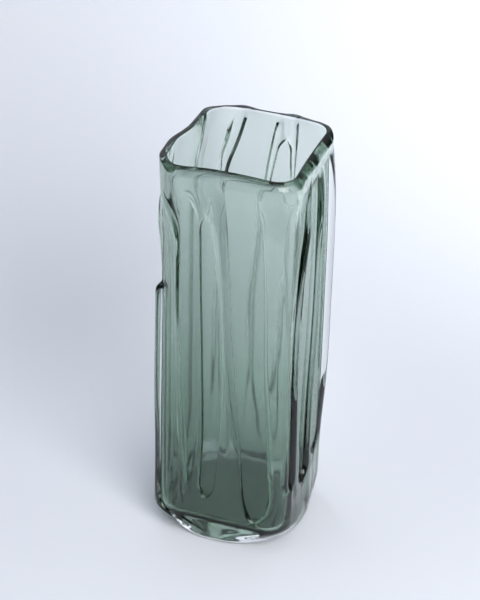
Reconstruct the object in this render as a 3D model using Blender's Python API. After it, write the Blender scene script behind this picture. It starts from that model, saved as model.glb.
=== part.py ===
"""Tall square glass vase with applied clear trails, in metres, +Z up, standing on z = 0.

A smoke-green blown vessel sits in a clear gather of glass that forms the foot.
Thick clear trails were laid hot from the lip down every face and run out into the gather.
"""

import math

import bmesh
import bpy
from mathutils import Vector

# Blown vessel
height = 0.350
half_side = 0.0564
corner_radius = 0.019
lip_wall = 0.0032
foot_wall = 0.0052
floor_thickness = 0.005
foot_radius = 0.010
inner_floor_radius = 0.008
lip_dip = 0.0010
lip_waves_around = 9
lip_sway = 0.0045
sway_depth = 0.110

# Clear gather under and around the foot
gather_base = 0.0120
gather_proud = 0.0036
gather_foot_half = 0.0560
gather_foot_corner = 0.0460
gather_foot_round = 0.0025
gather_shoulder = 0.0220

# Trails
trail_proud = 0.0046
trail_edge = 0.0006
trail_end_proud = 0.0024
trail_fade = 0.020
trail_lip_drop = 0.0024
trail_roundness = 2.4

# Gap kept between pieces that touch, and between a trail's end and the wavy gather edge
clearance = 0.0003
seam_gap = 0.0008

# Facet counts
vessel_flat_steps = 14
gather_flat_steps = 14
corner_steps = 7
round_steps = 4
sway_rows = 5
swell_rows = 5
trail_rows = 22

# One side of the section, from corner middle to corner middle
side_pitch = 2 * (half_side - corner_radius) + math.pi / 2 * corner_radius
flat_share = (half_side - corner_radius) / side_pitch
corner_share = 0.5
lip_radius = lip_wall / 2
vessel_base = gather_base + clearance

# How far the hand-worked lip leans out of the true square, as a share of the lip's sway, at
# places around the section. Places count sides: 0 is the front middle, 1 the right middle,
# 2 the back, 3 the left.
lip_sway_shares = (
    (-0.50, 0.30),
    (-0.38, 0.70),
    (-0.12, -0.22),
    (0.10, -0.35),
    (0.45, 0.00),
    (0.80, -0.40),
    (1.15, -0.55),
    (1.50, -0.40),
    (1.75, 0.25),
    (2.20, 0.25),
    (2.53, -1.00),
    (2.80, -0.25),
    (3.15, 0.65),
    (3.35, 0.15),
    (3.50, 0.30),
)

# Height of the gather's wavy edge, as a share of the height, at places around the section.
gather_edge_shares = (
    (-0.50, 0.120),
    (-0.225, 0.135),
    (-0.05, 0.124),
    (0.14, 0.105),
    (0.33, 0.086),
    (0.64, 0.150),
    (1.00, 0.115),
    (1.30, 0.100),
    (1.60, 0.135),
    (1.92, 0.110),
    (2.20, 0.090),
    (2.55, 0.130),
    (2.90, 0.100),
    (3.20, 0.125),
    (3.50, 0.120),
)

# Each trail: its share of the full proud height, its facets across, then rows from the top.
# A row is a share of the height, then the left and right edge counted in sides, as above.
# A trail whose first row is at the full height starts at the lip.
trails = {
    "front_left_trail": (1.00, 16, (
        (1.00, -0.600, -0.395),
        (0.94, -0.560, -0.312),
        (0.90, -0.500, -0.325),
        (0.86, -0.440, -0.345),
        (0.81, -0.400, -0.340),
        (0.66, -0.385, -0.330),
        (0.55, -0.384, -0.309),
        (0.39, -0.362, -0.288),
        (0.25, -0.340, -0.252),
        (0.12, -0.330, -0.240),
    )),
    "front_slim_trail": (0.78, 6, (
        (1.00, -0.388, -0.238),
        (0.94, -0.283, -0.186),
        (0.91, -0.250, -0.162),
        (0.86, -0.212, -0.173),
        (0.67, -0.192, -0.158),
        (0.51, -0.185, -0.138),
        (0.37, -0.184, -0.124),
        (0.26, -0.197, -0.121),
        (0.17, -0.218, -0.118),
        (0.12, -0.221, -0.060),
    )),
    "front_ribbon": (1.00, 12, (
        (1.00, -0.231, -0.060),
        (0.94, -0.178, 0.001),
        (0.91, -0.150, 0.014),
        (0.87, -0.105, 0.027),
        (0.82, -0.085, 0.042),
        (0.68, -0.025, 0.080),
        (0.52, -0.002, 0.115),
        (0.30, 0.012, 0.183),
        (0.18, -0.012, 0.220),
        (0.12, -0.046, 0.245),
        (0.08, -0.046, 0.310),
    )),
    "front_corner_ribbon": (1.09, 12, (
        (1.00, 0.257, 0.590),
        (0.94, 0.294, 0.545),
        (0.87, 0.302, 0.516),
        (0.79, 0.324, 0.515),
        (0.68, 0.343, 0.535),
        (0.55, 0.357, 0.560),
        (0.38, 0.382, 0.570),
        (0.25, 0.408, 0.595),
        (0.18, 0.405, 0.622),
        (0.08, 0.332, 0.634),
    )),
    "right_front_trail": (1.04, 8, (
        (1.00, 0.820, 0.958),
        (0.95, 0.816, 0.940),
        (0.89, 0.806, 0.912),
        (0.84, 0.775, 0.880),
        (0.77, 0.700, 0.822),
        (0.71, 0.665, 0.775),
        (0.63, 0.643, 0.753),
        (0.43, 0.610, 0.722),
        (0.31, 0.620, 0.730),
        (0.17, 0.643, 0.760),
        (0.10, 0.643, 0.790),
    )),
    "right_middle_trail": (0.91, 6, (
        (1.00, 0.962, 1.150),
        (0.95, 1.020, 1.165),
        (0.89, 1.092, 1.178),
        (0.75, 1.080, 1.145),
        (0.61, 1.075, 1.130),
        (0.49, 1.050, 1.110),
        (0.30, 1.010, 1.085),
        (0.17, 0.960, 1.085),
        (0.10, 0.900, 1.110),
    )),
    "right_back_corner_trail": (0.91, 8, (
        (1.00, 1.330, 1.540),
        (0.90, 1.350, 1.530),
        (0.75, 1.365, 1.505),
        (0.50, 1.372, 1.500),
        (0.30, 1.385, 1.495),
        (0.18, 1.375, 1.520),
        (0.10, 1.340, 1.560),
    )),
    "back_right_leg": (0.91, 6, (
        (1.00, 1.790, 1.872),
        (0.95, 1.786, 1.868),
        (0.90, 1.788, 1.848),
        (0.82, 1.796, 1.838),
        (0.60, 1.790, 1.842),
        (0.35, 1.775, 1.838),
        (0.18, 1.750, 1.850),
        (0.10, 1.700, 1.880),
    )),
    "back_left_leg": (0.91, 6, (
        (1.00, 1.876, 1.955),
        (0.95, 1.888, 1.985),
        (0.90, 1.948, 2.018),
        (0.82, 1.989, 2.047),
        (0.63, 2.058, 2.112),
        (0.50, 2.098, 2.155),
        (0.29, 2.070, 2.135),
        (0.16, 2.020, 2.140),
        (0.10, 1.960, 2.170),
    )),
    "back_ribbon": (1.00, 8, (
        (1.00, 2.180, 2.340),
        (0.91, 2.252, 2.372),
        (0.83, 2.340, 2.425),
        (0.69, 2.372, 2.445),
        (0.43, 2.362, 2.445),
        (0.20, 2.335, 2.460),
        (0.09, 2.280, 2.500),
    )),
    "left_back_trail": (0.96, 8, (
        (1.00, 2.480, 2.640),
        (0.92, 2.570, 2.705),
        (0.85, 2.660, 2.770),
        (0.70, 2.700, 2.790),
        (0.35, 2.682, 2.782),
        (0.18, 2.655, 2.800),
        (0.10, 2.610, 2.840),
    )),
    "left_front_trail": (0.96, 8, (
        (1.00, 3.040, 3.170),
        (0.94, 3.128, 3.222),
        (0.87, 3.205, 3.300),
        (0.81, 3.240, 3.330),
        (0.66, 3.250, 3.325),
        (0.34, 3.230, 3.310),
        (0.18, 3.195, 3.325),
        (0.10, 3.140, 3.325),
    )),
    "left_corner_trail": (1.00, 8, (
        (0.68, -0.600, -0.560),
        (0.665, -0.635, -0.530),
        (0.64, -0.648, -0.515),
        (0.55, -0.650, -0.510),
        (0.38, -0.650, -0.505),
        (0.20, -0.655, -0.495),
        (0.10, -0.660, -0.470),
    )),
}


def clear_scene():
    for obj in list(bpy.data.objects):
        bpy.data.objects.remove(obj, do_unlink=True)


def glass(name, colour):
    """Clear or tinted soda-lime glass."""
    material = bpy.data.materials.new(name)
    material.use_nodes = True
    shader = material.node_tree.nodes["Principled BSDF"]
    shader.inputs["Base Color"].default_value = colour
    shader.inputs["Roughness"].default_value = 0.03
    shader.inputs["Metallic"].default_value = 0.0
    shader.inputs["IOR"].default_value = 1.5
    shader.inputs["Transmission Weight"].default_value = 1.0
    return material


def section_point(place, half, radius):
    """Point of a rounded square; place counts sides from the front middle."""
    side = math.floor(place + corner_share)
    along = place - side
    if abs(along) <= flat_share:
        across = along / flat_share * (half - radius)
        depth = half
    else:
        turn = (abs(along) - flat_share) / (corner_share - flat_share) * math.pi / 4
        across = math.copysign(half - radius + radius * math.sin(turn), along)
        depth = half - radius + radius * math.cos(turn)
    facing = side * math.pi / 2
    return Vector((
        across * math.cos(facing) + depth * math.sin(facing),
        across * math.sin(facing) - depth * math.cos(facing),
        0.0,
    ))


def sway_at(place, z):
    """How far the vessel's wall leans out at a place, growing toward the lip."""
    turn = (place + corner_share) % 4 - corner_share
    part = max(1 - (height - z) / sway_depth, 0)
    return lip_sway * smooth_value(lip_sway_shares, 1, turn) * part * part


def on_vessel(place, out, z):
    """Point beside the vessel's outer face, moved out square to it."""
    lean = out + sway_at(place, z)
    point = section_point(place, half_side + lean, corner_radius + lean)
    point.z = z
    return point


def between(low, high, part):
    return low + (high - low) * part


def section_places(flat_steps):
    """Places around the section: even steps on each flat and on each corner."""
    places = []
    for side in range(4):
        flat_start, flat_end, next_start = side - flat_share, side + flat_share, side + 1 - flat_share
        places += [between(flat_start, flat_end, step / flat_steps) for step in range(flat_steps)]
        places += [between(flat_end, next_start, step / corner_steps) for step in range(corner_steps)]
    return places


def smooth_value(rows, column, x):
    """Smooth curve through a table whose first column rises."""
    last = len(rows) - 1
    x = min(max(x, rows[0][0]), rows[last][0])
    i = max(k for k in range(last) if rows[k][0] <= x)

    def slope(k):
        low = rows[max(k - 1, 0)]
        high = rows[min(k + 1, last)]
        return (high[column] - low[column]) / (high[0] - low[0])

    start, end = rows[i], rows[i + 1]
    span = end[0] - start[0]
    t = (x - start[0]) / span
    rise = t * t * (3 - 2 * t)
    return (
        start[column] + (end[column] - start[column]) * rise
        + slope(i) * span * t * (1 - t) ** 2
        - slope(i + 1) * span * t * t * (1 - t)
    )


def gather_edge(place):
    """Height of the gather's upper edge at a place around the section."""
    turn = (place + corner_share) % 4 - corner_share
    return height * smooth_value(gather_edge_shares, 1, turn)


def lip_height(place):
    """Top of the fire-polished lip, which dips slightly between the trails."""
    wave = 0.5 - 0.5 * math.cos(2 * math.pi * lip_waves_around * place / 4)
    return height - lip_dip * wave


def add_solid(name, material, rings):
    """Close a stack of rings into one solid with faces pointing out."""
    mesh = bmesh.new()
    loops = [[mesh.verts.new(point) for point in ring] for ring in rings]
    count = len(loops[0])
    for low, high in zip(loops, loops[1:]):
        for i in range(count):
            j = (i + 1) % count
            mesh.faces.new((low[i], low[j], high[j], high[i]))
    mesh.faces.new(list(reversed(loops[0])))
    mesh.faces.new(loops[-1])
    bmesh.ops.recalc_face_normals(mesh, faces=mesh.faces)
    data = bpy.data.meshes.new(name)
    mesh.to_mesh(data)
    mesh.free()
    data.materials.append(material)
    data.shade_smooth()
    data.set_sharp_from_angle(angle=math.radians(50))
    solid = bpy.data.objects.new(name, data)
    bpy.context.scene.collection.objects.link(solid)
    return solid


def rounded_foot(base, radius, out):
    """Offsets and heights of a quarter-round foot whose wall stands out from the vessel."""
    steps = []
    for step in range(round_steps + 1):
        turn = math.pi / 2 * step / round_steps
        steps.append((out - radius * (1 - math.sin(turn)), base + radius * (1 - math.cos(turn))))
    return steps


def tinted_body(material):
    """Blown square vessel with a rounded foot, a round lip and a wall that thins up to it."""
    places = section_places(vessel_flat_steps)
    rings = []
    for out, z in rounded_foot(vessel_base, foot_radius, 0.0):
        rings.append([on_vessel(place, out, z) for place in places])
    sway_heights = [between(height - sway_depth, height, row / sway_rows) for row in range(sway_rows)]
    for z in sway_heights:
        rings.append([on_vessel(place, 0.0, z) for place in places])
    lip_steps = 2 * round_steps - 2
    for step in range(lip_steps + 1):
        turn = math.pi * step / lip_steps
        out = lip_radius * (math.cos(turn) - 1)
        drop = lip_radius * (1 - math.sin(turn))
        rings.append([on_vessel(place, out, lip_height(place) - drop) for place in places])
    for z in reversed(sway_heights):
        wall = between(lip_wall, foot_wall, 1 - z / height)
        rings.append([on_vessel(place, -wall, z) for place in places])
    inner = rounded_foot(vessel_base + floor_thickness, inner_floor_radius, -foot_wall)
    for out, z in reversed(inner):
        rings.append([on_vessel(place, out, z) for place in places])
    return add_solid("tinted_body", material, rings)


def base_gather(material):
    """Clear cup of glass under the vessel, on a flat round foot, with a wavy upper edge."""
    places = section_places(gather_flat_steps)
    rings = []
    full_half = half_side + gather_proud
    full_corner = corner_radius + gather_proud
    stations = [(0.0, gather_foot_half - gather_foot_round, gather_foot_corner - gather_foot_round)]
    for step in range(swell_rows + 1):
        part = step / swell_rows
        grow = part * part * (3 - 2 * part)
        stations.append((
            between(gather_foot_round, gather_shoulder, part),
            between(gather_foot_half, full_half, grow),
            between(gather_foot_corner, full_corner, grow),
        ))
    for z, half, corner in stations:
        ring = [section_point(place, half, corner) for place in places]
        rings.append([Vector((point.x, point.y, z)) for point in ring])
    edge_round = (gather_proud - clearance) / 2
    for turn in (0, math.pi / 4, math.pi / 2, math.pi):
        out = gather_proud - edge_round * (1 - math.cos(turn))
        drop = edge_round * (1 - math.sin(turn))
        rings.append([on_vessel(place, out, gather_edge(place) - drop) for place in places])
    cup = rounded_foot(gather_base, foot_radius + clearance, clearance)
    for out, z in reversed(cup):
        rings.append([on_vessel(place, out, z) for place in places])
    return add_solid("base_gather", material, rings)


def trail_section(left, right, proud, across, z_at):
    """Closed D-shaped outline: flat against the vessel and rounded outside."""
    outside = []
    inside = []
    for step in range(across + 1):
        t = -math.cos(math.pi * step / across)
        place = between(left, right, (t + 1) / 2)
        bulge = (1 - abs(t) ** trail_roundness) ** (1 / trail_roundness)
        out = clearance + between(trail_edge, proud, bulge)
        outside.append(on_vessel(place, out, z_at(place)))
        inside.append(on_vessel(place, clearance, z_at(place)))
    return outside + inside[::-1]


def glass_trail(name, material, proud, across, rows):
    """One clear trail from its start down to the gather's edge."""
    rows = sorted(rows)
    seam = clearance / 2 / side_pitch
    top_share = rows[-1][0]
    rings = []
    for step in range(trail_rows + 1):
        part = 0.5 - 0.5 * math.cos(math.pi * step / trail_rows)
        part = (part + step / trail_rows) / 2

        def z_at(place):
            low = gather_edge(place) + seam_gap
            high = lip_height(place) - trail_lip_drop if top_share == 1 else height * top_share
            return between(low, high, part)

        middle = between(smooth_value(rows, 1, rows[0][0]), smooth_value(rows, 2, rows[0][0]), 0.5)
        z = z_at(middle)
        left = smooth_value(rows, 1, z / height) + seam
        right = smooth_value(rows, 2, z / height) - seam
        from_end = min(part, 1 - part) * height * top_share
        fade = min(from_end / trail_fade, 1)
        rise = fade * (2 - fade)
        here = between(trail_end_proud, proud, rise)
        rings.append(trail_section(left, right, here, across, z_at))
    return add_solid(name, material, rings)


clear_scene()
smoke_glass = glass("smoke_glass", (0.24, 0.34, 0.31, 1.0))
clear_glass = glass("clear_glass", (0.86, 0.91, 0.91, 1.0))
tinted_body(smoke_glass)
base_gather(clear_glass)
for trail_name, (proud_share, facets, edge_rows) in trails.items():
    glass_trail(trail_name, clear_glass, trail_proud * proud_share, facets, edge_rows)
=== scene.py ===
"""Square blown glass vase: a smoke-green vessel cased in clear glass, with trails on its faces."""
import math

import bpy
from mathutils import Matrix, Vector, noise


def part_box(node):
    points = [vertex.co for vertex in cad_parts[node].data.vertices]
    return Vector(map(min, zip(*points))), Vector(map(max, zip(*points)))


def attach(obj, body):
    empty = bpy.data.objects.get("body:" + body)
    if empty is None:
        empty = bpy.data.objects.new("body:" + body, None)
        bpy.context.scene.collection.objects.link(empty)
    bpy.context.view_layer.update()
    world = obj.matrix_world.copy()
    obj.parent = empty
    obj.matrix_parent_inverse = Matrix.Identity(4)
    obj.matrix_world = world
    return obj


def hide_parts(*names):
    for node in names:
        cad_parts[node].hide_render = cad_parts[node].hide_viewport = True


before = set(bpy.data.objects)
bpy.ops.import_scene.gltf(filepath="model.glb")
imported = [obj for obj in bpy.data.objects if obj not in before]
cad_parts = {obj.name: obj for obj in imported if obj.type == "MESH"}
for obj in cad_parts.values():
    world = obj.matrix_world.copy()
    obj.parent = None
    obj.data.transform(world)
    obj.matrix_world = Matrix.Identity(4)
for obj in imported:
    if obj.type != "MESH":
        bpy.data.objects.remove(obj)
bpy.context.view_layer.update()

# Smoke-green vessel
# The real piece is a square bubble of soda-lime glass, coloured through with a smoke grey-green
# metal oxide and blown into a mould. Its wall is thin at the lip and thickens to the foot, so the
# colour deepens down the vase. It is the body that every clear piece was laid on.
mm = 0.001
vessel_low, vessel_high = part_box("tinted_body")
HALF_SIDE = vessel_high.x
CORNER_RADIUS = 19 * mm
LIP_WALL = 3.2 * mm
FOOT_WALL = 5.2 * mm
VESSEL_BASE = vessel_low.z
FLOOR_THICKNESS = 3.2 * mm
VESSEL_FOOT_RADIUS = 10 * mm
CORNER_LIFT = 5 * mm
SMOKE_FLOOR = 1.2 * mm
INNER_FOOT_RADIUS = 8 * mm
HEIGHT = vessel_high.z
LOW_CASING = 0.25 * mm
HIGH_CASING = 0.92 * mm
DRAWN_FROM = 60 * mm
DRAWN_TO = 220 * mm
TINT_BELOW_LIP = 2.4 * mm
LEAN_DEPTH = 110 * mm

# Rings of the coloured layer: points in each, then steps round its foot, up a wall, over the lip
# and round the inner foot. The foot lifts at the corners, from this share of a side.
SMOKE_COLUMNS = 240
SMOKE_FOOT_STEPS = 12
SMOKE_WALL_STEPS = 25
SMOKE_LIP_STEPS = 8
SMOKE_INNER_STEPS = 6
CORNER_FROM = 0.28

SIDE_PITCH = 2 * (HALF_SIDE - CORNER_RADIUS) + math.pi / 2 * CORNER_RADIUS
FLAT = (HALF_SIDE - CORNER_RADIUS) / SIDE_PITCH
AROUND = 4 * SIDE_PITCH

# How far the hand-worked lip leans out of true: millimetres around from the front middle, then out.
lip_lean = (
    (-52.3, 1.4), (-39.8, 3.2), (-12.6, -1.0), (10.5, -1.6), (47.1, 0.0), (83.7, -1.8),
    (120.3, -2.5), (157.0, -1.8), (183.1, 1.1), (230.2, 1.1), (264.8, -4.5), (290.0, -2.2),
    (309.0, -1.6), (330.0, 1.8), (350.6, 0.7), (366.3, 1.4),
)


def smoothstep(low, high, x):
    t = min(max((x - low) / (high - low), 0.0), 1.0)
    return t * t * (3 - 2 * t)


def curve(rows, column, x):
    """Smooth curve through rows whose first column rises."""
    last = len(rows) - 1
    x = min(max(x, rows[0][0]), rows[last][0])
    i = max(k for k in range(last) if rows[k][0] <= x)

    def slope(k):
        low, high = rows[max(k - 1, 0)], rows[min(k + 1, last)]
        return (high[column] - low[column]) / (high[0] - low[0])

    span = rows[i + 1][0] - rows[i][0]
    t = (x - rows[i][0]) / span
    return (
        rows[i][column] + (rows[i + 1][column] - rows[i][column]) * t * t * (3 - 2 * t)
        + slope(i) * span * t * (1 - t) ** 2 - slope(i + 1) * span * t * t * (1 - t)
    )


def at_lip(rows, around):
    """A table's value around the lip, where its rows start half a side before the front middle."""
    turn = (around + SIDE_PITCH / 2) % AROUND - SIDE_PITCH / 2
    return curve(rows, 1, turn / mm) * mm


def lean(around, z):
    """How far the wall leans out at a place, growing toward the lip."""
    part = max(1 - (HEIGHT - z) / LEAN_DEPTH, 0)
    return at_lip(lip_lean, around) * part * part


def square_point(around, half, radius, out=0.0):
    """Point on a rounded square, a distance around it from the front middle, pushed out from it."""
    place = around / SIDE_PITCH
    side = math.floor(place + 0.5)
    along = place - side
    if abs(along) <= FLAT:
        across, depth = along / FLAT * (half - radius), half
        tilt = 0.0
    else:
        tilt = math.copysign((abs(along) - FLAT) / (0.5 - FLAT) * math.pi / 4, along)
        across = math.copysign(half - radius, along) + radius * math.sin(tilt)
        depth = half - radius + radius * math.cos(tilt)
    across += out * math.sin(tilt)
    depth += out * math.cos(tilt)
    facing = side * math.pi / 2
    return (
        across * math.cos(facing) + depth * math.sin(facing),
        across * math.sin(facing) - depth * math.cos(facing),
    )


def wall_at(z):
    """Wall thickness, which grows from the lip to the foot."""
    return LIP_WALL + (FOOT_WALL - LIP_WALL) * (1 - z / HEIGHT)


def casing_at(z):
    """Clear glass on either side of the coloured layer, thicker where the bubble was drawn thin."""
    return LOW_CASING + (HIGH_CASING - LOW_CASING) * smoothstep(DRAWN_FROM, DRAWN_TO, z)


def skin(name, rings):
    """Closed, smooth mesh over a stack of rings, each with as many points."""
    count = len(rings[0])
    points = [point for ring in rings for point in ring]
    faces = []
    for row in range(len(rings) - 1):
        for column in range(count):
            beside = (column + 1) % count
            faces.append((
                row * count + column,
                row * count + beside,
                (row + 1) * count + beside,
                (row + 1) * count + column,
            ))
    faces.append(tuple(reversed(range(count))))
    faces.append(tuple(range(len(points) - count, len(points))))
    mesh = bpy.data.meshes.new(name)
    mesh.from_pydata(points, [], faces)
    mesh.shade_smooth()
    for face in mesh.polygons[-2:]:
        face.use_smooth = False
    made = bpy.data.objects.new(name, mesh)
    bpy.context.scene.collection.objects.link(made)
    return made


def linear(hex_colour):
    """An sRGB hex colour as linear red, green, blue and alpha."""
    values = [int(hex_colour[i:i + 2], 16) / 255 for i in (0, 2, 4)]
    return [v / 12.92 if v <= 0.04045 else ((v + 0.055) / 1.055) ** 2.4 for v in values] + [1.0]


def add_node(tree, kind, settings=(), inputs=(), links=()):
    """A shader node with its settings, input values and links from other nodes' outputs."""
    node = tree.nodes.new(kind)
    for name, value in dict(settings).items():
        setattr(node, name, value)
    for name, value in dict(inputs).items():
        node.inputs[name].default_value = value
    for name, output in dict(links).items():
        tree.links.new(output, node.inputs[name])
    return node


def new_material(name):
    """An empty node material and its output."""
    material = bpy.data.materials.new(name)
    material.use_nodes = True
    material.node_tree.nodes.clear()
    return material, add_node(material.node_tree, "ShaderNodeOutputMaterial")


def vessel_point(around, out, z):
    """Point beside the vessel's outer face, a distance out from it."""
    return (*square_point(around, HALF_SIDE, CORNER_RADIUS, out + lean(around, z)), z)


def corner_share(part):
    """Distance from the nearest face's middle, as a share of a side, at a part of the way round."""
    place = part * 4
    return abs(place - math.floor(place + 0.5))


def vessel_ring(z, out, count):
    step = AROUND / count
    return [vessel_point(i * step, out, z) for i in range(count)]


def smoke_rings(count):
    """Rings of the coloured layer, from its foot over the lip and down to its floor."""
    floor = VESSEL_BASE + FLOOR_THICKNESS - LOW_CASING
    rings = []
    for step in range(SMOKE_FOOT_STEPS + 1):
        turn = math.pi / 2 * step / SMOKE_FOOT_STEPS
        out = -LOW_CASING - VESSEL_FOOT_RADIUS * (1 - math.sin(turn))
        z = floor - SMOKE_FLOOR + VESSEL_FOOT_RADIUS * (1 - math.cos(turn))
        lifts = [
            CORNER_LIFT * smoothstep(CORNER_FROM, 0.5, corner_share(i / count)) * math.sin(turn)
            for i in range(count)
        ]
        ring = vessel_ring(z, out, count)
        rings.append([(x, y, height + lift) for (x, y, height), lift in zip(ring, lifts)])
    layer = (LIP_WALL - 2 * HIGH_CASING) / 2
    low = VESSEL_BASE + VESSEL_FOOT_RADIUS + CORNER_LIFT
    top = HEIGHT - TINT_BELOW_LIP - layer
    for step in range(1, SMOKE_WALL_STEPS):
        z = low + (top - low) * step / SMOKE_WALL_STEPS
        rings.append(vessel_ring(z, -casing_at(z), count))
    for step in range(SMOKE_LIP_STEPS + 1):
        turn = math.pi * step / SMOKE_LIP_STEPS
        out = -HIGH_CASING - layer * (1 - math.cos(turn))
        rings.append(vessel_ring(top + layer * math.sin(turn), out, count))
    foot_top = floor + INNER_FOOT_RADIUS
    for step in range(1, SMOKE_WALL_STEPS):
        z = top + (foot_top - top) * step / SMOKE_WALL_STEPS
        rings.append(vessel_ring(z, casing_at(z) - wall_at(z), count))
    for step in range(SMOKE_INNER_STEPS + 1):
        turn = math.pi / 2 * step / SMOKE_INNER_STEPS
        out = LOW_CASING - wall_at(foot_top) - INNER_FOOT_RADIUS * (1 - math.cos(turn))
        z = foot_top - INNER_FOOT_RADIUS * math.sin(turn)
        rings.append(vessel_ring(z, out, count))
    return rings


# Smoke soda-lime glass, coloured in the mass: nothing at its surface, all of its colour by depth.
# It lies inside the clear glass of the same index, so light crosses into it without bending.
SMOKE_TINT = "6ca581"
SMOKE_DENSITY = 198.0
smoke_glass, smoke_output = new_material("smoke_soda_lime_glass")
smoke_surface = add_node(smoke_glass.node_tree, "ShaderNodeBsdfPrincipled", inputs={
    "Base Color": linear("ffffff"),
    "Roughness": 0.0,
    "IOR": 1.0,
    "Transmission Weight": 1.0,
})
smoke_depth = add_node(smoke_glass.node_tree, "ShaderNodeVolumeAbsorption", inputs={
    "Color": linear(SMOKE_TINT),
    "Density": SMOKE_DENSITY,
})
smoke_glass.node_tree.links.new(smoke_surface.outputs["BSDF"], smoke_output.inputs["Surface"])
smoke_glass.node_tree.links.new(smoke_depth.outputs["Volume"], smoke_output.inputs["Volume"])

smoke_vessel = skin("smoke_vessel", smoke_rings(SMOKE_COLUMNS))
smoke_vessel.data.materials.append(smoke_glass)
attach(smoke_vessel, "root")
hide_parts("tinted_body")

# Clear casing, foot and trails
# Colourless glass gathered over the vessel's foot, and ropes of it laid on hot from the lip down
# each face. They sank into one skin as the vase was reheated, so this is one piece of glass, with
# windows left open between the trails where only the smoke vessel's own wall is seen.

# The foot: half its width, its corners and lower edge, and where it blends into the square wall.
FOOT_HALF = 60 * mm
FOOT_CORNER = 56 * mm
FOOT_ROUND = 5 * mm
FOOT_RISE = 3 * mm
SHOULDER = 22 * mm

# The trails: their round sides and crowns, where they rise from the foot, and how a window between
# them closes below and above its ends.
SIDE_ROUND = 4.6 * mm
CROWN = 0.35 * mm
TRAIL_FOOT_START = 2 * mm
TRAIL_FOOT_END = 20 * mm
LOW_FILL = 3 * mm
HIGH_FILL = 14 * mm
CLOSED_WIDTH = 1.6 * mm

# The lip: its rounded edges, how far below it the outer rows end, and the height over which they
# bend to it. Where it slopes outward, it drops by LIP_SLOPE times its width along a curved line.
LIP_INNER_EDGE = 0.7 * mm
LIP_OUTER_EDGE = 0.8 * mm
LIP_TOP = 2 * mm
LIP_BLEND = 30 * mm
LIP_SLOPE = 1.2
SLOPE_INWARD_BEND = 1.5
SLOPE_DOWNWARD_BEND = 1.2

# Slow unevenness of the surface, drawn out along the height. The inside has its own, which fades in
# below the lip. Then low folds around the foot, flat and slanted.
UNEVEN = 0.10 * mm
UNEVEN_SPACING = 22 * mm
UNEVEN_DRAWN = 0.5
INSIDE_APART = 1
INSIDE_FADE_ROWS = 4
FOLD_DEPTH = 0.4 * mm
FOLD_SPACING = 26 * mm
FOLD_LOW = 10 * mm
FOLD_HIGH = 18 * mm
FOLD_FLATNESS = 6
FOLD_SLANT = 0.9

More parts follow.
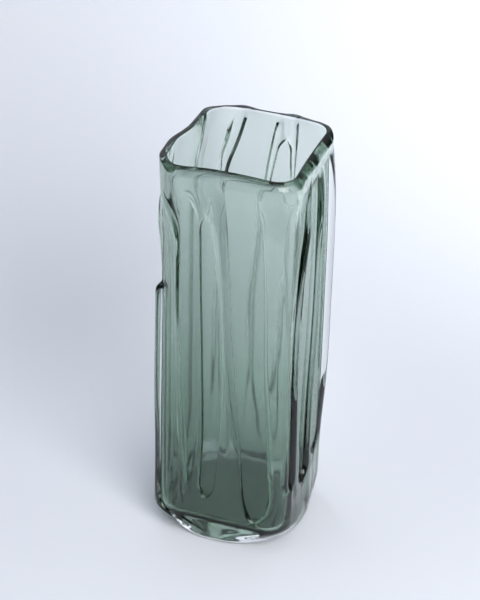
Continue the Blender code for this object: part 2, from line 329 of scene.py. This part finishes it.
# Windows in order round the vase. Each has its lower end and how round that is, its upper end and
# how round that is, how far the joint above it is filled, then rows of height, left edge and right
# edge. All but the share are millimetres, edges measured around the vessel from the middle of the
# front. OPEN runs out under the lip.
OPEN = 400
windows = [
    (54, 16, 330, 9, 0.9, (
        (350, -46.0, -42.0), (340, -38.5, -34.0), (329, -33.7, -29.3), (321, -35.1, -27.4),
        (308, -36.1, -22.5), (282, -35.6, -21.1), (235, -34.6, -20.1), (208, -33.2, -19.7),
        (180, -31.7, -19.4), (146, -30.8, -19.1), (122, -29.3, -19.3), (88, -26.4, -20.7),
        (62, -25.0, -22.6),
    )),
    (43, 14, 307, 10, 0.9, (
        (350, -29.0, -25.0), (335, -22.5, -18.0), (318, -18.6, -13.0), (306, -18.1, -11.5),
        (298, -18.5, -10.6), (289, -18.1, -9.1), (270, -17.6, -6.7), (239, -16.6, -2.7),
        (183, -14.5, -0.2), (105, -12.6, 1.3), (65, -13.7, -1.2), (50, -14.2, -2.4),
    )),
    (29, 30, OPEN, 5, 1, (
        (350, -7.5, 26.0), (335, -0.8, 28.8), (315, 1.8, 31.0), (278, 5.1, 33.9), (232, 8.8, 36.1),
        (186, 11.7, 37.3), (148, 15.1, 39.4), (110, 18.7, 41.8), (70, 22.5, 44.6), (45, 24.2, 45.7),
    )),
    (56, 12, OPEN, 5, 1, (
        (350, 61.2, 85.4), (334, 56.7, 85.1), (316, 54.2, 84.6), (293, 52.7, 81.7),
        (272, 53.8, 74.2), (249, 55.3, 69.5), (222, 57.2, 67.3), (187, 59.4, 65.4),
        (158, 59.0, 64.9), (110, 61.1, 66.8), (75, 62.5, 68.3),
    )),
    (46, 12, 347, 12, 1, (
        (346, 91.3, 106.7), (330, 89.9, 109.6), (312, 89.4, 114.4), (290, 89.4, 114.4),
        (273, 84.1, 113.9), (257, 78.6, 113.5), (220, 71.6, 114.0), (193, 70.2, 113.0),
        (165, 71.2, 111.1), (142, 73.1, 108.6), (110, 76.9, 105.8), (80, 84.6, 104.8),
    )),
    (56, 20, OPEN, 5, 1, (
        (350, 123.1, 139.4), (303, 124.0, 141.3), (259, 119.2, 142.8), (212, 117.3, 143.3),
        (170, 114.9, 143.7), (120, 112.0, 142.8), (80, 111.5, 140.4),
    )),
    (20, 40, OPEN, 5, 1, (
        (350, 160.6, 187.5), (332, 159.6, 187.0), (289, 157.7, 188.5), (200, 156.7, 187.5),
        (110, 155.8, 185.6), (60, 158.6, 182.7),
    )),
    (20, 40, 325, 9, 1, (
        (328, 192.6, 201.0), (314, 193.3, 203.8), (289, 192.3, 208.1), (221, 192.3, 215.4),
        (175, 192.8, 218.3), (100, 192.3, 217.3), (60, 194.2, 211.5),
    )),
    (20, 40, OPEN, 5, 1, (
        (350, 204.2, 228.4), (323, 209.6, 235.6), (288, 214.4, 246.0), (240, 219.2, 248.1),
        (175, 225.0, 247.1), (100, 223.1, 246.1), (60, 224.0, 243.3),
    )),
    (20, 40, OPEN, 5, 1, (
        (350, 243.6, 261.5), (320, 249.6, 270.2), (300, 254.8, 278.8), (240, 255.8, 282.7),
        (120, 255.8, 280.8), (60, 257.7, 276.0),
    )),
    (40, 22, OPEN, 5, 1, (
        (350, 277.9, 318.3), (330, 281.7, 330.8), (315, 285.6, 341.3), (303, 288.4, 347.1),
        (290, 290.4, 350.0), (280, 291.3, 348.5), (265, 291.8, 345.2), (230, 292.3, 340.4),
        (120, 291.3, 337.5), (60, 295.2, 332.7),
    )),
    (44, 12, OPEN, 5, 1, (
        (350, 331.7, 350.9), (330, 343.3, 353.9), (315, 353.0, 356.0), (303, 358.1, 359.0),
        (290, 358.7, 359.6), (280, 356.6, 359.6), (265, 352.9, 359.6), (240, 348.5, 359.4),
        (225, 347.1, 353.4), (200, 346.1, 350.9), (120, 345.2, 350.9), (60, 346.1, 350.0),
    )),
    (16, 30, OPEN, 5, 1, (
        (350, 352.5, 352.9), (330, 355.8, 356.3), (315, 358.1, 362.5), (303, 360.9, 371.1),
        (290, 361.5, 376.4), (280, 361.3, 378.4), (265, 361.2, 377.9), (240, 361.1, 377.4),
        (225, 363.6, 377.4), (200, 363.8, 378.4), (120, 363.8, 381.2), (60, 364.4, 384.6),
    )),
]

# The trail to the right of each window: the heights above which it melts into the lip and has crisp
# sides, how soft its left and right side is below, how round its sides are, then rows of height and
# crest. All heights are millimetres. The trails on the back share one crest.
BACK = ((0, 0.6), (30, 0.9), (120, 4.0), (325, 4.0), (350, 3.9))
crests = [
    (300, 400, 0.40, 0.00, 1.0, ((0, 3.4), (250, 3.4), (320, 3.6), (350, 2.6))),
    (300, 400, 0.30, 0.35, 1.0, ((0, 4.4), (300, 4.4), (350, 2.8))),
    (300, 400, 0.10, 0.00, 1.0, ((0, 4.6), (300, 4.6), (350, 3.6))),
    (310, 400, 0.00, 0.00, 1.0, ((0, 4.2), (300, 4.4), (350, 3.8))),
    (318, 400, 0.00, 0.00, 1.0, ((0, 4.3), (350, 4.2))),
    (330, 110, 0.50, 0.50, 1.0, (
        (0, 1.0), (60, 1.6), (120, 4.4), (160, 5.2), (290, 5.2), (330, 3.2), (350, 2.8),
    )),
    (334, 270, 0.50, 0.50, 1.0, BACK),
    (334, 270, 0.50, 0.50, 1.0, BACK),
    (334, 270, 0.50, 0.50, 0.0, BACK),
    (315, 270, 0.50, 0.50, 0.5, BACK),
    (300, 400, 0.40, 0.40, 1.0, ((0, 4.2), (250, 4.2), (300, 4.4), (330, 4.2), (350, 4.0))),
    (280, 400, 0.00, 0.20, 1.0, (
        (0, 3.8), (80, 4.2), (130, 5.3), (215, 5.4), (229, 4.6), (236, 0.0), (350, 0.0),
    )),
    (275, 400, 0.60, 0.80, 1.0, ((0, 4.2), (240, 4.2), (300, 4.6), (350, 3.6))),
]


# How thick the trails leave the lip once they have melted into it: millimetres around from the
# front middle, then of clear glass outside the vessel.
lip_swell = (
    (-52.3, 3.2), (-30.0, 2.8), (0.0, 2.4), (30.0, 2.8), (52.0, 3.8), (75.0, 3.2),
    (105.0, 4.0), (135.0, 3.6), (155.0, 2.4), (172.0, 0.4), (181.0, 1.4), (191.0, 3.8),
    (201.0, 1.4), (211.0, 0.2), (223.0, 0.8), (235.0, 3.8), (247.0, 0.8), (257.0, 0.4),
    (268.0, 3.0), (284.0, 1.2), (300.0, 0.6), (318.0, 1.8), (340.0, 3.2), (367.3, 3.2),
)


def window_at(window, z):
    """Left and right edge of a window, and how far it is closed and its floor filled, 0 to 1."""
    low, low_round, high, high_round, joint_fill, rows = window
    height = z / mm
    rows = sorted(rows)
    left, right = curve(rows, 1, height), curve(rows, 2, height)
    middle, half = (left + right) / 2, (right - left) / 2
    near = min((height - low) / low_round, (high - height) / high_round, 1)
    if near > 0:
        half *= math.sqrt(1 - (1 - near) ** 2)
    else:
        half = 0.0
    below, above = (low - height) * mm / LOW_FILL, (height - high) * mm / HIGH_FILL
    beyond = min(max(below, above, 0), 1)
    closed = math.sqrt(1 - (1 - beyond) ** 2)
    half = max(half * mm, CLOSED_WIDTH / 2)
    return middle * mm - half, middle * mm + half, closed, closed * (joint_fill if above > 0 else 1)


def base_shape(z):
    """Half side, corner radius and stand-off of the skin under the trails, round at the foot."""
    grow = smoothstep(FOOT_RISE, SHOULDER, z)
    half = FOOT_HALF + (HALF_SIDE - FOOT_HALF) * grow
    corner = FOOT_CORNER + (CORNER_RADIUS - FOOT_CORNER) * grow
    under = 1 - min(z / FOOT_ROUND, 1.0)
    return half, corner, -FOOT_ROUND * (1 - math.sqrt(1 - under * under))


# Rings of the clear skin: steps round the foot, up the outside, over the lip, down the inside and
# round the inner foot. The outer rows lie a little closer toward the foot. Then steps over the side
# and crown of a trail, and where a window has points.
OUTER_FOOT_STEPS = 10
OUTER_ROWS = 132
FOOT_CROWDING = 1.05
LIP_STEPS = 8
LIP_INNER_STEPS = 4
INSIDE_ROWS = 34
INSIDE_FOOT_STEPS = 7
INSIDE_RINGS = INSIDE_ROWS + INSIDE_FOOT_STEPS
SIDE_STEPS = 8
CROWN_STEPS = 8
WINDOW_SHARES = (0.0, 0.012, 0.04, 0.12, 0.3, 0.5, 0.7, 0.88, 0.96, 0.988)

# Drawn cords on the trails, with those of one trail set well apart from those of the next.
CORD_DEPTH = 0.14 * mm
CORD_SPACING = 2.6 * mm
CORD_LENGTH = 70 * mm
TRAIL_APART = 7.3

# How a trail's sides soften and melt. A side takes a limited share of the trail's width, and it is
# wider where it is round than where it is sloped. The left side's softness turns into the right
# side's between two shares of the width. The last four values are heights in millimetres.
SIDE_LIMIT = 0.4
SLOPED_SIDE = 0.8
ROUND_SIDE_MORE = 0.2
LEFT_SIDE_TO = 0.3
RIGHT_SIDE_FROM = 0.7
CRISP_BLEND = 25
SOFT_FROM = 45
SOFT_TO = 90
MELTED_BELOW_LIP = 4

# Where the lip's outward slope begins and ends to fade, as shares of a side from the front right
# corner.
SLOPE_FULL = 0.86
SLOPE_NONE = 1.04


def cord(trail, aside, z):
    """Drawn cords that run along a trail, unlike those of the next."""
    place = Vector((aside / CORD_SPACING, trail * TRAIL_APART, z / CORD_LENGTH))
    return CORD_DEPTH * noise.noise(place)


def trail_profile(width, soft_left, soft_right, roundness):
    """Places across a trail and its height there, as shares: round, sloped or soft sides."""
    side = min(SIDE_ROUND * (SLOPED_SIDE + ROUND_SIDE_MORE * roundness) / width, SIDE_LIMIT)
    shares = []
    for step in range(SIDE_STEPS):
        turn = math.pi / 2 * step / SIDE_STEPS
        slope = 1 - math.cos(turn)
        shares.append((side * slope, slope + (math.sin(turn) - slope) * roundness))
    shares += [(side + (1 - 2 * side) * step / CROWN_STEPS, 1.0) for step in range(CROWN_STEPS)]
    shares += [(1 - across, rise) for across, rise in reversed(shares[1:SIDE_STEPS])]
    shares.append((1 - side, 1.0))
    profile = []
    for across, rise in sorted(shares):
        soften = smoothstep(LEFT_SIDE_TO, RIGHT_SIDE_FROM, across)
        soft = soft_left + (soft_right - soft_left) * soften
        profile.append((across, rise + (0.5 - 0.5 * math.cos(2 * math.pi * across) - rise) * soft))
    return profile


def relief_row(z):
    """Places around the skin at one height, and how far each stands off, from the first window."""
    count = len(windows)
    height = z / mm
    edges = [window_at(window, z) for window in windows]
    foot = smoothstep(TRAIL_FOOT_START, TRAIL_FOOT_END, z)
    tops = [max(curve(rows, 1, height) * mm, 0.0) * foot for *_, rows in crests]
    melted = [smoothstep(start, HEIGHT / mm - MELTED_BELOW_LIP, height) for start, *_ in crests]
    melting = [(melted[i - 1] + melted[i]) / 2 for i in range(count)]
    floors = []
    for i in range(count):
        floors.append(edges[i][3] * (tops[i - 1] + tops[i]) / 2)
    places = []
    for i, (left, right, closed, _) in enumerate(edges):
        follow = (i + 1) % count
        follow_left = edges[follow][0] + (AROUND if follow == 0 else 0)
        for share in WINDOW_SHARES:
            around = left + (right - left) * share
            swell = at_lip(lip_swell, around)
            places.append((around, floors[i] + (swell - floors[i]) * melting[i]))
        _, crisp, soft_left, soft_right, roundness, _ = crests[i]
        low = 1 - smoothstep(crisp, crisp + CRISP_BLEND, height)
        low *= smoothstep(SOFT_FROM, SOFT_TO, height)
        soft_left = max(soft_left * low, melted[i], closed)
        soft_right = max(soft_right * low, melted[i], edges[follow][2])
        for across, rise in trail_profile(follow_left - right, soft_left, soft_right, roundness):
            around = right + (follow_left - right) * across
            side = floors[i] + (floors[follow] - floors[i]) * across
            crown = CROWN * foot * (1 - (2 * across - 1) ** 2)
            top = tops[i] + cord(i, around - right, z) * foot + crown - side
            off = side + top * rise
            melt = melting[i] + (melting[follow] - melting[i]) * across
            places.append((around, off + (at_lip(lip_swell, around) - off) * melt))
    return places


def shoulder_share(around):
    """1 on the front and right faces, where the lip slopes outward, and 0 where its top is flat."""
    turn = (around - SIDE_PITCH / 2 + AROUND / 2) % AROUND - AROUND / 2
    return 1 - smoothstep(SLOPE_FULL, SLOPE_NONE, abs(turn) / SIDE_PITCH)


def uneven(x, y, z):
    """Slow unevenness of glass worked by hand."""
    return UNEVEN * noise.noise(Vector((x, y, z * UNEVEN_DRAWN)) / UNEVEN_SPACING)


def fold(x, y, z):
    """Low folds around the clear foot, left where the gather was turned."""
    low = 1 - smoothstep(FOLD_LOW, FOLD_HIGH, z)
    place = Vector((x, y, z * FOLD_FLATNESS + x * FOLD_SLANT)) / FOLD_SPACING
    return FOLD_DEPTH * low * noise.noise(place)


def casing_rings():
    """Rings of the clear glass, up the outside, over the lip and down the inside to the floor."""
    side_top = HEIGHT - LIP_TOP
    heights = [
        FOOT_ROUND * (1 - math.cos(math.pi / 2 * step / OUTER_FOOT_STEPS))
        for step in range(OUTER_FOOT_STEPS)
    ]
    heights += [
        FOOT_ROUND + (side_top - FOOT_ROUND) * (row / OUTER_ROWS) ** FOOT_CROWDING
        for row in range(OUTER_ROWS + 1)
    ]
    top_row = relief_row(side_top)
    spans = [LIP_WALL + off - LIP_INNER_EDGE for _, off in top_row]
    shoulders = [shoulder_share(around) for around, _ in top_row]
    drops = [
        LIP_OUTER_EDGE + (LIP_SLOPE * span - LIP_OUTER_EDGE) * share
        for span, share in zip(spans, shoulders)
    ]
    rings = []
    for z in heights:
        half, corner, under = base_shape(z)
        near_lip = smoothstep(HEIGHT - LIP_BLEND, side_top, z)
        outline = []
        for (around, off), drop in zip(relief_row(z), drops):
            out = off + under + lean(around, z)
            x, y = square_point(around, half, corner, out)
            rough = uneven(x, y, z) * smoothstep(0, SHOULDER, z) + fold(x, y, z)
            x, y = square_point(around, half, corner, out + rough)
            outline.append((x, y, z + (HEIGHT - drop - side_top) * near_lip))
        rings.append(outline)
    for step in range(1, LIP_STEPS + 1):
        part = step / LIP_STEPS
        turn = math.pi / 2 * part
        outline = []
        for (around, off), span, drop, share in zip(top_row, spans, drops, shoulders):
            inward = (1 - math.cos(turn)) * (1 - share) + part ** SLOPE_INWARD_BEND * share
            below = (1 - math.sin(turn)) * (1 - share) + (1 - part) ** SLOPE_DOWNWARD_BEND * share
            outline.append(vessel_point(around, off - span * inward, HEIGHT - drop * below))
        rings.append(outline)
    for step in range(1, LIP_INNER_STEPS + 1):
        turn = math.pi / 2 * step / LIP_INNER_STEPS
        rings.append([
            vessel_point(
                around, -LIP_WALL + LIP_INNER_EDGE * (1 - math.sin(turn)),
                HEIGHT - LIP_INNER_EDGE * (1 - math.cos(turn)),
            )
            for around, _ in top_row
        ])
    foot_top = VESSEL_BASE + FLOOR_THICKNESS + INNER_FOOT_RADIUS
    inner_top = HEIGHT - LIP_INNER_EDGE
    for step in range(1, INSIDE_ROWS):
        z = inner_top + (foot_top - inner_top) * step / INSIDE_ROWS
        outline = []
        for around, _ in top_row:
            x, y, _ = vessel_point(around, -wall_at(z), z)
            rough = uneven(x + INSIDE_APART, y, z) * smoothstep(0, INSIDE_FADE_ROWS, step)
            outline.append(vessel_point(around, rough - wall_at(z), z))
        rings.append(outline)
    for step in range(INSIDE_FOOT_STEPS + 1):
        turn = math.pi / 2 * step / INSIDE_FOOT_STEPS
        out = -wall_at(foot_top) - INNER_FOOT_RADIUS * (1 - math.cos(turn))
        z = foot_top - INNER_FOOT_RADIUS * math.sin(turn)
        rings.append([vessel_point(around, out, z) for around, _ in top_row])
    return rings


# Clear soda-lime glass, fire-polished: a bright skin with no grain. Its striae, the faint drawn
# cords of hand-worked glass, lie along the height. The finest are about 3 mm apart and the coarsest
# four times that.
CLEAR_TINT = "fcfefe"
GLASS_INDEX = 1.5
STRIA_SPACING = 3 * mm
STRIA_HALVINGS = 2.0
STRIA_DRAWN = 0.06
clear_glass, clear_output = new_material("clear_soda_lime_glass")
tree = clear_glass.node_tree
place = add_node(tree, "ShaderNodeTexCoord")
drawn = add_node(tree, "ShaderNodeMapping", inputs={"Scale": (1, 1, STRIA_DRAWN)},
                 links={"Vector": place.outputs["Object"]})
striae = add_node(tree, "ShaderNodeTexNoise", inputs={
    "Scale": 1 / STRIA_SPACING / 2 ** STRIA_HALVINGS,
    "Detail": STRIA_HALVINGS,
}, links={"Vector": drawn.outputs["Vector"]})
ripple = add_node(tree, "ShaderNodeBump", inputs={"Strength": 0.25, "Distance": 0.1 * mm},
                  links={"Height": striae.outputs["Fac"]})
clear_surface = add_node(tree, "ShaderNodeBsdfPrincipled", inputs={
    "Base Color": linear(CLEAR_TINT),
    "Roughness": 0.0,
    "IOR": GLASS_INDEX,
    "Transmission Weight": 1.0,
}, links={"Normal": ripple.outputs["Normal"]})
tree.links.new(clear_surface.outputs["BSDF"], clear_output.inputs["Surface"])


def hazy_glass(name, roughness):
    """Clear glass with an even haze over its surface."""
    material, output = new_material(name)
    surface = add_node(material.node_tree, "ShaderNodeBsdfPrincipled", inputs={
        "Base Color": linear(CLEAR_TINT),
        "Roughness": roughness,
        "IOR": GLASS_INDEX,
        "Transmission Weight": 1.0,
    })
    material.node_tree.links.new(surface.outputs["BSDF"], output.inputs["Surface"])
    return material


# The foot's underside is ground flat and polished again, which leaves only a faint haze. The blown
# inside wall is a little hazier, which softens what shows through it.
foot_glass = hazy_glass("polished_foot_of_soda_lime_glass", 0.06)
inside_glass = hazy_glass("blown_inside_of_soda_lime_glass", 0.10)

casing_points = casing_rings()
clear_casing = skin("clear_casing", casing_points)
for glass in (clear_glass, foot_glass, inside_glass):
    clear_casing.data.materials.append(glass)
clear_casing.data.polygons[-2].material_index = 1
columns = len(casing_points[0])
inside_start = (len(casing_points) - INSIDE_RINGS) * columns
for face in clear_casing.data.polygons:
    if inside_start <= min(face.vertices) < inside_start + INSIDE_ROWS * columns:
        face.material_index = 2
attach(clear_casing, "root")
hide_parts(*[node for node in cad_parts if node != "tinted_body"])

# Floor
# A roll of matt white studio paper, drawn forward under the vase and up behind it in one sweep.
PAPER_LEFT = -0.50
PAPER_RIGHT = 0.95
PAPER_FRONT = -0.60
PAPER_DROP = 0.3 * mm
SWEEP_START = 0.15
SWEEP_RADIUS = 0.75
SWEEP_TOP = 1.8
SWEEP_TURN = math.radians(32)
SWEEP_STEPS = 24
profile = [(PAPER_FRONT, -PAPER_DROP), (SWEEP_START, -PAPER_DROP)]
for step in range(1, SWEEP_STEPS + 1):
    turn = math.pi / 2 * step / SWEEP_STEPS
    profile.append((
        SWEEP_START + SWEEP_RADIUS * math.sin(turn),
        SWEEP_RADIUS * (1 - math.cos(turn)) - PAPER_DROP,
    ))
profile.append((SWEEP_START + SWEEP_RADIUS, SWEEP_TOP))
paper_mesh = bpy.data.meshes.new("studio_paper")
paper_mesh.from_pydata(
    [(x, y, z) for y, z in profile for x in (PAPER_LEFT, PAPER_RIGHT)],
    [],
    [(2 * i, 2 * i + 1, 2 * i + 3, 2 * i + 2) for i in range(len(profile) - 1)],
)
paper_mesh.shade_smooth()
paper = bpy.data.objects.new("studio_paper", paper_mesh)
paper.rotation_euler.z = SWEEP_TURN
bpy.context.scene.collection.objects.link(paper)
matt_paper, paper_output = new_material("matt_white_paper")
paper_surface = add_node(matt_paper.node_tree, "ShaderNodeBsdfPrincipled", inputs={
    "Base Color": linear("eaeef7"),
    "Roughness": 0.9,
    "Specular IOR Level": 0.2,
})
matt_paper.node_tree.links.new(paper_surface.outputs["BSDF"], paper_output.inputs["Surface"])
paper.data.materials.append(matt_paper)

# Light
# A wide soft box high on the right and the pale room around it, dim low down behind the camera. A
# lamp brightens the backdrop, and a small fill light the paper to the left behind the vase.
world = bpy.data.worlds.new("studio")
bpy.context.scene.world = world
world.use_nodes = True
sky = world.node_tree
sky.nodes.clear()
direction = add_node(sky, "ShaderNodeTexCoord")
axes = add_node(sky, "ShaderNodeSeparateXYZ", links={"Vector": direction.outputs["Generated"]})
amount = add_node(sky, "ShaderNodeMapRange", {"interpolation_type": "SMOOTHSTEP"}, {
    "From Min": 0.0, "From Max": 0.6, "To Min": 0.04, "To Max": 0.57,
}, {"Value": axes.outputs["Z"]})
glow = add_node(sky, "ShaderNodeBackground", inputs={"Color": linear("f4f8ff")},
                links={"Strength": amount.outputs["Result"]})
add_node(sky, "ShaderNodeOutputWorld", links={"Surface": glow.outputs["Background"]})


def area_light(name, size, energy, location, aim, spread=180):
    """A square lamp aimed at a place, with its beam's spread in degrees."""
    light = bpy.data.lights.new(name, "AREA")
    light.shape = "SQUARE"
    light.size = size
    light.energy = energy
    light.spread = math.radians(spread)
    lamp = bpy.data.objects.new(name, light)
    bpy.context.scene.collection.objects.link(lamp)
    lamp.location = location
    lamp.rotation_mode = "QUATERNION"
    lamp.rotation_quaternion = (Vector(aim) - lamp.location).to_track_quat("-Z", "Y")
    return light


box_light = area_light(
    "soft_box", size=1.0, energy=21.0, location=(0.88, -0.91, 1.14), aim=(0, 0, 0),
)
box_light.color = linear("fffdfa")[:3]
area_light(
    "backdrop_light", size=0.5, energy=1.9, location=(0.95, 0.35, 0.65), aim=(0.1, 0.95, 0.15),
    spread=70,
)
area_light(
    "fill_light", size=0.15, energy=0.038, location=(-0.45, 0.55, 0.75), aim=(-0.08, 0.14, 0),
    spread=20,
)

# Camera
# A long lens above and a little to the right, tilted a touch, as the photograph was taken.
camera_data = bpy.data.cameras.new("camera")
camera_data.lens = 164.94
camera_data.sensor_width = 36
camera_data.clip_start = 0.1
camera_data.clip_end = 30
camera = bpy.data.objects.new("camera", camera_data)
bpy.context.scene.collection.objects.link(camera)
azimuth, elevation, roll = (math.radians(angle) for angle in (18.989, 31.199, 1.825))
back = Vector((
    math.sin(azimuth) * math.cos(elevation),
    -math.cos(azimuth) * math.cos(elevation),
    math.sin(elevation),
))
camera.location = (0.62426, -1.82516, 1.37192)
camera.rotation_mode = "QUATERNION"
tilt = Matrix.Rotation(roll, 3, "Z").to_quaternion()
camera.rotation_quaternion = (-back).to_track_quat("-Z", "Y") @ tilt
bpy.context.scene.camera = camera

scene = bpy.context.scene
scene.view_settings.view_transform = "Standard"
scene.cycles.max_bounces = 40
scene.cycles.transmission_bounces = 36
scene.cycles.glossy_bounces = 12
scene.cycles.diffuse_bounces = 4
scene.cycles.caustics_reflective = True
scene.cycles.caustics_refractive = True
